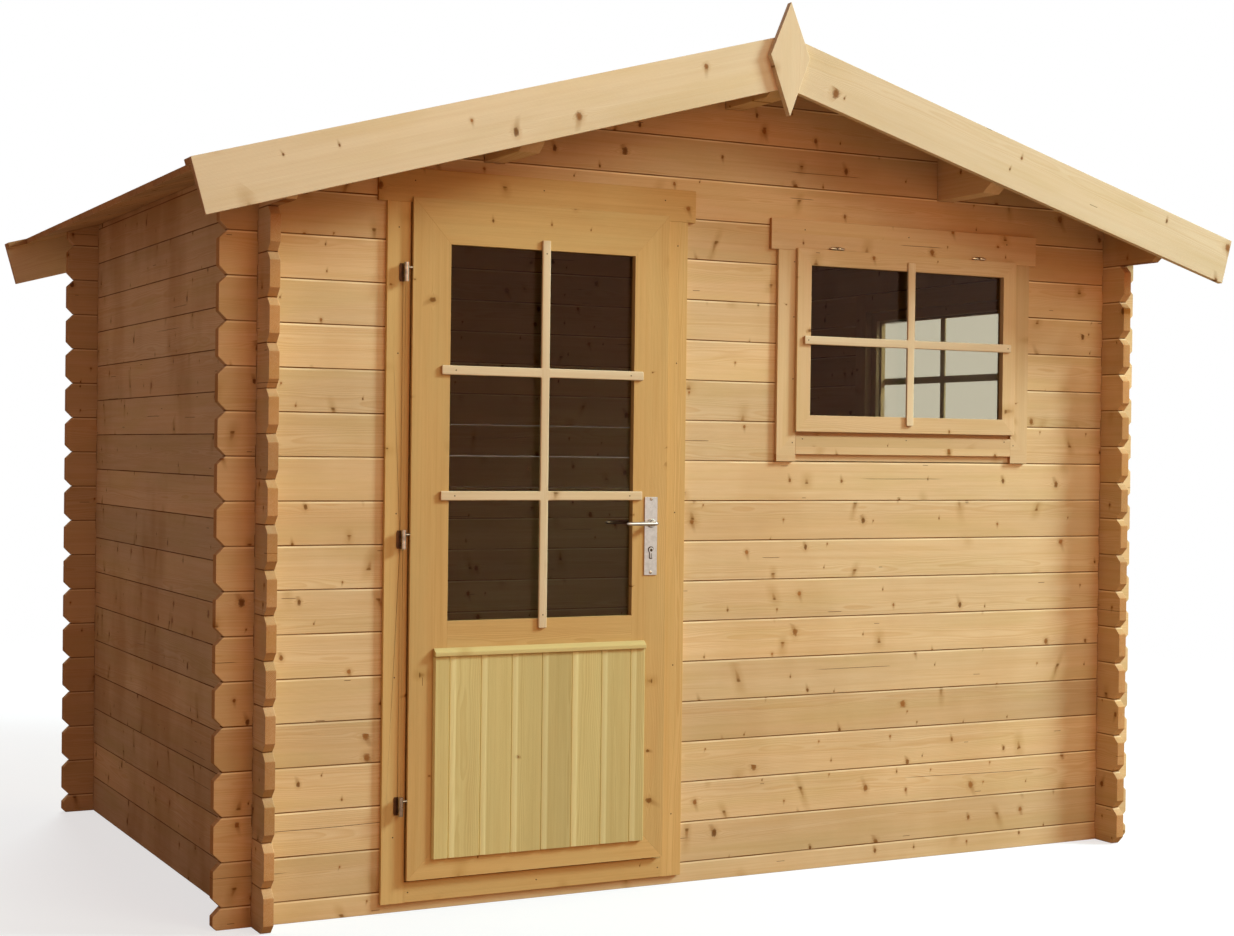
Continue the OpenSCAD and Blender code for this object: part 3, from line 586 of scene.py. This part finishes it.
JOINERY = (219, 180, 118)
JOINERY_LATE = (190, 147, 85)
TRIM = (222, 193, 149)
TRIM_LATE = (200, 160, 112)
PANEL = (213, 195, 134)
PANEL_LATE = (190, 164, 102)
ochre = dict(warm=0.8, knots=0.55, knot_size=0.9, cracks=0.15, vary=0.8)
slim = dict(warm=0.4, knots=0.2, cracks=0.0, vary=0.6)
timber_of.update({
    "door_jambs": timber("pine_jambs", door_sides(451), JOINERY, JOINERY_LATE, **ochre),
    "door_head": timber("pine_door_head", level(0.4, 461), JOINERY, JOINERY_LATE, **ochre),
    "door_head_board": timber("pine_head_board", level(0.5, 466), JOINERY, JOINERY_LATE, **ochre),
    "door_sill": timber("pine_sill", level(0.5, 471), JOINERY, JOINERY_LATE, **ochre),
    "door_stiles": timber("pine_stiles", door_sides(481), JOINERY, JOINERY_LATE, **ochre),
    "door_rails": timber("pine_rails", level(0.42, 685), JOINERY, JOINERY_LATE, **ochre),
    "door_bars": timber("pine_door_bars", bars_of(DOOR_X, 501), EDGE_PALE, EDGE_LATE, **slim),
    "door_panel": timber("pine_panel", panel_layout, PANEL, PANEL_LATE, warm=0.4, knots=0.15, cracks=0.0,
                         vary=0.85, ends=0.3, painted_flank=PANEL_BOARD / 2),
    "door_moulding": timber("pine_moulding", level(0.5, 521), PANEL, PANEL_LATE, ends=0.3, **slim),
    "front_window_frame": timber("pine_window_frame", mitred(WINDOW_X, WINDOW_Z, 0.127, 531), TRIM,
                                 TRIM_LATE, **ochre),
    "front_window_boards": timber("pine_window_boards", level(0.31, 551), TRIM, TRIM_LATE, warm=0.8,
                                  knots=1.1, knot_size=0.85, cracks=0.15, vary=0.8),
    "front_window_casement": timber("pine_casement", mitred(WINDOW_X, WINDOW_Z + CASEMENT_UP, 0.1335, 561),
                                    TRIM, TRIM_LATE, **ochre),
    "front_window_bars": timber("pine_window_bars", bars_of(WINDOW_X, 581), EDGE_PALE, EDGE_LATE, **slim),
    "side_window_frame": timber("pine_side_frame", mitred(0.0, SIDE_WINDOW_Z, 0.127, 591, True), TRIM,
                                TRIM_LATE, **ochre),
    "side_window_boards": timber("pine_side_boards", mitred(0.0, SIDE_WINDOW_Z, 0.9, 601, True), TRIM,
                                 TRIM_LATE, **ochre),
    "side_window_casement": timber("pine_side_casement",
                                   mitred(0.0, SIDE_WINDOW_Z + CASEMENT_UP, 0.1335, 611, True),
                                   TRIM, TRIM_LATE, **ochre),
    "side_window_bars": timber("pine_side_bars", bars_of(0.0, 621, True), EDGE_PALE, EDGE_LATE, **slim),
})

satin = metal("satin_handle_metal", (196, 186, 176), 0.32, brushed=0.12, patchy=0.25)
# The hinge metal's warm brown is partly the plating's own colour and partly a painted reflection of the wood
# round it.
steel = metal("dull_hinge_metal", (178, 156, 132), 0.30, brushed=0.05, patchy=0.6)
bronze = metal("bronzed_hinge_metal", (196, 164, 128), 0.28, brushed=0.05, patchy=0.6)
dark_iron = metal("dark_nail_metal", (74, 56, 40), 0.6, patchy=0.4)
brown_iron = metal("brown_plate_metal", (96, 64, 42), 0.5, patchy=0.6)
clear = glass("clear_glass")


def soften(piece, width, segments=2):
    """The small round on a piece's edges."""
    weld = piece.modifiers.new("Weld", "WELD")
    weld.merge_threshold = 0.00002
    soft = piece.modifiers.new("Edges", "BEVEL")
    soft.width = width
    soft.segments = segments
    soft.limit_method = "ANGLE"
    soft.angle_limit = math.radians(25)
    soft.miter_outer = "MITER_ARC"
    flat = piece.modifiers.new("Faces", "WEIGHTED_NORMAL")
    flat.weight = 100


def finish_node(name, material, bevel=0.0):
    """Gives a node of the frame its material and, where it has one, the small round on its edges."""
    piece = nodes[name]
    piece.data.materials.clear()
    piece.data.materials.append(material)
    if bevel:
        soften(piece, bevel)


bevel_of = {"door_bars": 0.003, "front_window_bars": 0.003, "side_window_bars": 0.003,
            "door_panel": 0.0008, "door_moulding": 0.002, "door_stiles": 0.0007, "door_rails": 0.0007,
            "front_window_casement": 0.0012, "side_window_casement": 0.0012}
for name, material in timber_of.items():
    logs = "wall" in name or "gable" in name or "eave" in name
    finish_node(name, material, bevel_of.get(name, 0.0018 if logs else 0.0015))
for name in ("door_glass", "front_window_glass", "side_window_glass"):
    finish_node(name, clear)
finish_node("door_hinge_pins", steel, 0.0012)
finish_node("door_hinge_knuckles", steel, 0.0012)
finish_node("door_handle_plates", satin, 0.0008)
finish_node("door_levers", satin)


# ---- Pieces of the scene's own ----

class Build:
    """A mesh put together from solids, in the frame's coordinates."""

    def __init__(self):
        self.mesh = bmesh.new()

    def skin(self, rings):
        """A closed solid through rings of points."""
        rings = [[self.mesh.verts.new(point) for point in ring] for ring in rings]
        count = len(rings[0])
        for near, far in zip(rings, rings[1:]):
            for i in range(count):
                self.mesh.faces.new((near[i], near[(i + 1) % count], far[(i + 1) % count], far[i]))
        self.mesh.faces.new(rings[0][::-1])
        self.mesh.faces.new(rings[-1])

    def prism(self, outline, low, high, place):
        """An outline in (u, v) drawn out from low to high; place turns (u, v, w) into a point."""
        self.skin([[place(u, v, w) for u, v in outline] for w in (low, high)])

    def block(self, low, high):
        """A box between two corners."""
        corners = [(low[0], low[1]), (high[0], low[1]), (high[0], high[1]), (low[0], high[1])]
        self.prism(corners, low[2], high[2], lambda u, v, w: (u, v, w))

    def turned(self, profile, middle, axis, sides=24):
        """A solid of revolution: profile gives (distance along the axis, radius)."""
        axis = Vector(axis).normalized()
        one = axis.orthogonal().normalized()
        two = axis.cross(one)
        self.skin([[Vector(middle) + axis * far + (one * math.cos(a) + two * math.sin(a)) * radius
                    for a in (math.tau * i / sides for i in range(sides))] for far, radius in profile])

    def swept(self, path, sections, up, sides=20):
        """An oval drawn along a path; sections give its half width and half height at each point."""
        rings = []
        for i, point in enumerate(path):
            ahead = Vector(path[min(i + 1, len(path) - 1)]) - Vector(path[max(i - 1, 0)])
            across = ahead.cross(Vector(up)).normalized()
            wide, tall = sections[i]
            rings.append([Vector(point) + across * wide * math.cos(a) + Vector(up) * tall * math.sin(a)
                          for a in (math.tau * k / sides for k in range(sides))])
        self.skin(rings)

    def done(self, name, material, body, bevel=0.0, smooth=False, instead=None):
        """Makes the piece, lets it ride on its body and, where it takes a node's place, hides that node."""
        bmesh.ops.recalc_face_normals(self.mesh, faces=self.mesh.faces)
        sheet = bpy.data.meshes.new(name)
        self.mesh.to_mesh(sheet)
        self.mesh.free()
        piece = bpy.data.objects.new(name, sheet)
        bpy.context.scene.collection.objects.link(piece)
        sheet.materials.append(material)
        if smooth:
            sheet.polygons.foreach_set("use_smooth", [True] * len(sheet.polygons))
        if bevel:
            soften(piece, bevel)
        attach(piece, body)
        if instead:
            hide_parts(instead)


def roof_boards():
    """Each slope as boards from ridge to eave, with a tongue in every joint; the outer ones run further."""
    rise = ROOF_T / math.cos(ROOF_PITCH)
    slope = math.tan(ROOF_PITCH)
    lean = ROOF_T * math.sin(ROOF_PITCH)
    foot = ROOF_PEAK - rise

    def place(u, v, w):
        return u, w, v

    for side, node in ((-1, "roof_left"), (1, "roof_right")):
        build = Build()

        def section(edge, low=0.0, high=1.0, start=HALF_JOINT):
            """The slope's section between two shares of its thickness, cut square at the eave."""
            low_edge = edge - lean * (1 - low)
            high_edge = edge - lean * (1 - high)
            return [(side * start, foot + rise * low - start * slope),
                    (side * low_edge, foot + rise * low - low_edge * slope),
                    (side * high_edge, foot + rise * high - high_edge * slope),
                    (side * start, foot + rise * high - start * slope)]

        for i in range(ROOF_BOARD_COUNT):
            low = -ROOF_BOARDS_END + i * ROOF_BOARD
            build.prism(section(BOARD_EDGE), low + HALF_JOINT, low + ROOF_BOARD - HALF_JOINT, place)
        verge = ROOF_BOARDS_END + HALF_JOINT
        for low, high in ((-ROOF_END, -verge), (verge, ROOF_END)):
            build.prism(section(VERGE_EDGE), low, high, place)
        for i in range(ROOF_BOARD_COUNT + 1):
            middle = -ROOF_BOARDS_END + i * ROOF_BOARD
            tongue = section(BOARD_EDGE - 0.002, 0.35, 0.65, 0.002)
            build.prism(tongue, middle - HALF_TONGUE, middle + HALF_TONGUE, place)
        build.done(node + "_boards", pine_roof, "cabin", bevel=0.0018, instead=node)


def floor_boards():
    """Floor boards across the cabin, with a fine joint between them and a tongue in it."""
    build = Build()
    for i in range(FLOOR_BOARD_COUNT):
        start = -FLOOR_HALF_Y + i * FLOOR_BOARD
        build.block((-FLOOR_HALF_X, start + HALF_JOINT, FLOOR_LOW),
                    (FLOOR_HALF_X, start + FLOOR_BOARD - HALF_JOINT, FLOOR_HIGH))
    for i in range(1, FLOOR_BOARD_COUNT):
        middle = -FLOOR_HALF_Y + i * FLOOR_BOARD
        build.block((-FLOOR_HALF_X + 0.002, middle - HALF_TONGUE, FLOOR_LOW + 0.005),
                    (FLOOR_HALF_X - 0.002, middle + HALF_TONGUE, FLOOR_LOW + 0.010))
    build.done("floor_board_row", pine_floor, "cabin", bevel=0.0012, instead="floor_boards")


def end_tongues():
    """The tongue in each joint between the log ends past a corner, so that no light comes through."""
    half_height, half_width = 0.0010, 0.006
    inner, outer = 0.004, LOG_END - LOG_NOSE - 0.002
    along_x = Build()
    along_y = Build()
    for side in (-1, 1):
        for face in (-1, 1):
            for course in range(1, LOG_COURSES + 1):
                joint = (course - 0.5) * LOG_HEIGHT
                ends = sorted((side * (WALL_X - inner), side * (WALL_X + outer)))
                along_x.block((ends[0], face * FRONT_LOG - half_width, joint - half_height),
                              (ends[1], face * FRONT_LOG + half_width, joint + half_height))
                joint = course * LOG_HEIGHT
                ends = sorted((side * (WALL_Y - inner), side * (WALL_Y + outer)))
                along_y.block((face * SIDE_LOG - half_width, ends[0], joint - half_height),
                              (face * SIDE_LOG + half_width, ends[1], joint + half_height))
    along_x.done("front_end_tongues", pine_front, "cabin")
    along_y.done("side_end_tongues", pine_side, "cabin")


def panel_boards():
    """The door's panel: upright boards, each stepping back at one edge and sloping up to its face again."""
    back = LEAF_FRONT
    face = LEAF_FRONT - 0.010
    outline = [(-PANEL_HALF, back), (-PANEL_HALF, face + 0.0055), (-PANEL_HALF + 0.0045, face)]
    for i in range(PANEL_BOARD_COUNT):
        x = -PANEL_HALF + (i + 0.5) * PANEL_BOARD
        outline += [(x - 0.0022, face), (x - 0.0008, face + 0.0038), (x + 0.0010, face + 0.0038),
                    (x + 0.0022, face + 0.0026), (x + 0.0165, face)]
    outline += [(PANEL_HALF - 0.002, face), (PANEL_HALF, face + 0.002), (PANEL_HALF, back)]
    build = Build()
    build.prism([(DOOR_X + x, y) for x, y in outline], PANEL_FOOT, PANEL_TOP, lambda u, v, w: (u, v, w))
    build.done("panel_boarding", timber_of["door_panel"], "door", bevel=0.0006, instead="door_panel")


def lever_sweep(face, side):
    """A lever's path out of its neck, round the bend and along to its tip, and its half sizes on the way."""
    bend = 0.014
    bend_steps = 8
    grip_steps = 12
    out = face + side * LEVER_OUT
    path = [(LEVER_X, face - side * 0.007, LEVER_Z), (LEVER_X, face + side * 0.004, LEVER_Z),
            (LEVER_X, out - side * (bend + 0.003), LEVER_Z)]
    sections = [(0.0078, 0.0078), (0.0078, 0.0078), (0.0070, 0.0062)]
    for i in range(bend_steps + 1):
        turn = math.radians(90 * i / bend_steps)
        x = LEVER_X - bend * (1 - math.cos(turn))
        path.append((x, out - side * bend * (1 - math.sin(turn)), LEVER_Z))
        sections.append((0.0068 - 0.0002 * i, 0.0058 - 0.0001 * i))
    reach = LEVER_L - bend - 0.001
    for i in range(1, grip_steps + 1):
        share = i / grip_steps
        path.append((LEVER_X - bend - reach * share, out, LEVER_Z))
        swell = (1 + 0.12 * math.sin(math.pi * share)) * (1 - 0.12 * share)
        rounding = max(0.0, (share - 0.93) / 0.07)
        girth = swell * max(math.sqrt(1 - rounding ** 2), 0.25)
        sections.append((0.0054 * girth, 0.0052 * girth))
    return path, sections


def lever_pair():
    """A slim lever on each side of the leaf, on one spindle."""
    build = Build()
    for face, side in PLATE_FACES:
        path, sections = lever_sweep(face, side)
        build.swept(path, sections, (0, 0, 1))
    build.turned([(0.0, SPINDLE_R), (LEAF_BACK - LEAF_FRONT - 0.002, SPINDLE_R)],
                 (LEVER_X, LEAF_FRONT + 0.001, LEVER_Z), (0, 1, 0))
    build.done("lever_handles", satin, "lever", smooth=True, instead="door_levers")


def collar(build, face, side):
    """A ring on a handle plate, open in its middle, where the lever passes."""
    count = 32
    middle = Vector((LEVER_X, face, LEVER_Z))
    rings = []
    for far, radius in ((0.0001, 0.0088), (0.0001, 0.0128), (0.0035, 0.0125), (0.0058, 0.0108),
                        (0.0058, 0.0088)):
        points = [middle + Vector((math.cos(a) * radius, side * far, math.sin(a) * radius))
                  for a in (math.tau * k / count for k in range(count))]
        rings.append([build.mesh.verts.new(point) for point in points])
    for near, far in zip(rings, rings[1:] + rings[:1]):
        for i in range(count):
            build.mesh.faces.new((near[i], near[(i + 1) % count], far[(i + 1) % count], far[i]))


def handle_fittings():
    """Collars, screws and a profile cylinder on each handle plate."""
    collars = Build()
    screws = Build()
    key = Build()
    screw = [(-0.0004, 0.0044), (0.0006, 0.0044), (0.0013, 0.0034), (0.0016, 0.0016)]
    bow = [(0.0088 * math.sin(a), 0.0088 * math.cos(a) + 0.0085)
           for a in (math.radians(-144 + 12 * k) for k in range(25))]
    cylinder = bow + [(0.005, -0.0160), (0.0025, -0.0175), (-0.0025, -0.0175), (-0.005, -0.0160)]
    for face, side in PLATE_FACES:
        out = (0, side, 0)
        collar(collars, face, side)
        for up in (0.103, -0.101):
            screws.turned(screw, (LEVER_X, face, PLATE_Z + up), out, 20)
        for scale, low, high, part in ((1.0, 0.0001, 0.0012, key), (0.84, 0.0011, 0.0030, collars)):
            part.prism([(u * scale, v * scale) for u, v in cylinder], low, high,
                       lambda u, v, w: (LEVER_X + u, face + side * w, PLATE_Z - 0.046 + v))
        key.turned([(0.0029, 0.0044), (0.0033, 0.0042), (0.0034, 0.0038)],
                   (LEVER_X, face, PLATE_Z - 0.0389), out)
        key.block((LEVER_X - 0.0009, face + side * 0.0032 - 0.0003, PLATE_Z - 0.0600),
                  (LEVER_X + 0.0009, face + side * 0.0032 + 0.0003, PLATE_Z - 0.0480))
    collars.done("handle_collars", satin, "door", bevel=0.0003)
    screws.done("handle_screws", steel, "door", smooth=True)
    key.done("lock_plugs", dark_iron, "door", bevel=0.0001)


def window_hinges():
    """Two slim barrels over each casement, pointed at both ends and split in the middle."""
    profile = [(-0.027, 0.0008), (-0.025, 0.0024), (-0.020, 0.0038), (-0.010, 0.0048), (-0.0009, 0.0050),
               (-0.0007, 0.0036), (0.0007, 0.0036), (0.0009, 0.0050), (0.010, 0.0048), (0.020, 0.0038),
               (0.025, 0.0024), (0.027, 0.0008)]
    out, up = 0.0174, 0.2722
    for name, middle, along in (
            ("front_window_hinges", (WINDOW_X, -WALL_Y - out, WINDOW_Z + up), (1, 0, 0)),
            ("side_window_hinges", (WALL_X + out, 0.0, SIDE_WINDOW_Z + up), (0, 1, 0))):
        build = Build()
        for far in (-0.26, 0.26):
            build.turned(profile, Vector(middle) + Vector(along) * far, along, 20)
        build.done(name, bronze, "cabin", smooth=True)


def hinge_plates():
    """A thin dark plate on the casing behind each hinge barrel of the door: the hinge's leaf, dark brown
    partly as its own iron and partly as painted shade.
    """
    build = Build()
    axis = middle_of("door_hinge_pins", X)
    foot, top = low_of("door_hinge_pins", Z), high_of("door_hinge_pins", Z)
    step = (top - foot - 0.046) / 2
    for i in range(3):
        middle = foot + 0.025 + step * i
        corners = [(-0.0130, -0.024), (-0.0020, -0.024), (-0.0020, 0.024), (-0.0130, 0.024),
                   (-0.0150, 0.018), (-0.0150, -0.018)]
        build.prism([(axis + u, middle + v) for u, v in corners], 0.0001, 0.0016,
                    lambda u, v, w: (u, -WALL_Y - CASING_OUT - w, v))
    build.done("hinge_plates", brown_iron, "cabin", bevel=0.0004)


def nails():
    """Small nail heads in the casings, the boards over and under the windows, and the glazing bars."""
    head = [(-0.0005, 0.0019), (0.0002, 0.0019), (0.0005, 0.0011)]
    fixed = Build()
    hung = Build()

    def door_nail(build, along, out, z):
        """A nail at the door, which lies so far along from its middle."""
        build.turned(head, (DOOR_X + along, -WALL_Y - out, z), (0, -1, 0), 10)

    def window_nails(along, out, up):
        """A nail at the front window, and the same one at the side window."""
        fixed.turned(head, (WINDOW_X + along, -WALL_Y - out, WINDOW_Z + up), (0, -1, 0), 10)
        fixed.turned(head, (WALL_X + out, along, SIDE_WINDOW_Z + up), (1, 0, 0), 10)

    for z in (0.20, 0.62, 1.05, 1.47, 1.80):
        for along in (-0.418, 0.418):
            door_nail(fixed, along, CASING_OUT, z)
    for along in (-0.374, 0.0, 0.376):
        for z in (0.052, 1.925):
            door_nail(fixed, along, CASING_OUT, z)
    for along in (-0.405, 0.405):
        for up in (-0.298, -0.113, 0.067, 0.227):
            window_nails(along, CASING_OUT, up)
    for along in (-0.37, 0.0, 0.37):
        for up in (-0.287, 0.322):
            window_nails(along, CASING_OUT, up)
    for along in (-0.365, 0.365):
        window_nails(along, WINDOW_BAR_OUT, CASEMENT_UP)
    for along in (-0.262, 0.262):
        for z in (1.0973, 1.4297):
            door_nail(hung, along, DOOR_BAR_OUT, z)
    for z in (0.775, 1.752):
        door_nail(hung, 0.0, DOOR_BAR_OUT, z)
    fixed.done("board_nails", dark_iron, "cabin")
    hung.done("door_nails", dark_iron, "door")


roof_boards()
floor_boards()
end_tongues()
panel_boards()
lever_pair()
handle_fittings()
window_hinges()
hinge_plates()
nails()


# ---- Studio ----

def backdrop():
    """White all round for the camera and behind the glass, and a soft dim light from everywhere."""
    world = bpy.data.worlds.new("studio")
    bpy.context.scene.world = world
    f = Finish("studio", world)
    ray = f.node("ShaderNodeLightPath", output="Is Camera Ray")
    seen = ray.most(ray.out("Is Glossy Ray")).most(ray.out("Is Transmission Ray"))
    seen = seen * (ray.out("Diffuse Depth") < 0.5)
    soft = f.node("ShaderNodeBackground", inputs={"Color": (1.0, 0.638, 0.55, 1), "Strength": 0.268})
    white = f.node("ShaderNodeBackground", inputs={"Color": (1, 1, 1, 1), "Strength": 1.0})
    both = f.node("ShaderNodeMixShader", inputs={0: seen, 1: soft, 2: white})
    end = f.tree.nodes.new("ShaderNodeOutputWorld")
    f.tree.links.new(both.socket, end.inputs["Surface"])


def lamp(name, place, aim, size, power, colour):
    """A round soft light at a place, turned towards aim."""
    data = bpy.data.lights.new(name, "AREA")
    data.shape = "DISK"
    data.size = size
    data.energy = power
    data.color = colour
    lit = bpy.data.objects.new(name, data)
    bpy.context.scene.collection.objects.link(lit)
    lit.location = place
    lit.rotation_euler = (Vector(aim) - Vector(place)).to_track_quat("-Z", "Y").to_euler()


def studio_floor():
    """A round floor that shows pale, keeps the shadow, throws little light back and fades into the white."""
    ground = bmesh.new()
    bmesh.ops.create_circle(ground, cap_ends=True, segments=96, radius=14.0)
    sheet = bpy.data.meshes.new("studio_floor")
    ground.to_mesh(sheet)
    ground.free()
    floor = bpy.data.objects.new("studio_floor", sheet)
    bpy.context.scene.collection.objects.link(floor)
    floor.location.z = -0.0005
    f = Finish("studio_floor")
    x, y, z = f.node("ShaderNodeTexCoord", output="Object").split()
    far = (x * x + y * y).maths("SQRT").ease(2.2, 7.0)
    direct = f.node("ShaderNodeLightPath", output="Is Camera Ray")
    pale = f.node("ShaderNodeBsdfDiffuse", inputs={"Color": (0.37, 0.38, 0.38, 1)})
    lift = f.node("ShaderNodeEmission", inputs={"Color": (1, 1, 1, 1), "Strength": 0.66})
    shown = f.node("ShaderNodeAddShader", inputs={0: pale, 1: lift})
    muted = f.node("ShaderNodeBsdfDiffuse", inputs={"Color": (0.30, 0.20, 0.13, 1)})
    plain = f.node("ShaderNodeMixShader", inputs={0: direct, 1: muted, 2: shown})
    gone = f.node("ShaderNodeBsdfTransparent")
    both = f.node("ShaderNodeMixShader", inputs={0: far, 1: plain, 2: gone})
    end = f.tree.nodes.new("ShaderNodeOutputMaterial")
    f.tree.links.new(both.socket, end.inputs["Surface"])
    sheet.materials.append(f.material)


def studio():
    """Soft light from the front right, the front and the back, round a plain floor."""
    backdrop()
    front = (0.0, -0.9, 1.2)
    lamp("key", (9.3, -5.4, 7.2), front, 3.0, 1742, (0.69, 0.935, 1.0))
    lamp("front_right", (4.5, -8.6, 6.0), front, 4.0, 150, (0.93, 1.0, 0.86))
    lamp("front_left", (2.0, -9.4, 5.4), front, 4.0, 108, (0.85, 1.0, 0.80))
    lamp("warm_fill", (-0.5, -10.0, 2.2), (0.0, 0.0, 1.1), 5.0, 145, (1.0, 0.36, 0.10))
    lamp("back", (1.5, 10.0, 6.0), (0.0, 0.9, 1.2), 5.0, 850, (0.84, 0.98, 1.0))
    studio_floor()


def camera():
    """The camera, at chest height in front of the cabin and to its left."""
    data = bpy.data.cameras.new("camera")
    data.lens = 57.14
    data.sensor_width = 36.0
    seen = bpy.data.objects.new("camera", data)
    bpy.context.scene.collection.objects.link(seen)
    turn = Matrix.Rotation(math.radians(-27.6), 4, "Z")
    tilt = Matrix.Rotation(math.radians(89.504), 4, "X")
    roll = Matrix.Rotation(math.radians(0.691), 4, "Z")
    seen.matrix_world = Matrix.Translation((-2.8885, -5.7238, 1.2210)) @ turn @ tilt @ roll
    bpy.context.scene.camera = seen


studio()
camera()
bpy.context.scene.view_settings.view_transform = "Standard"
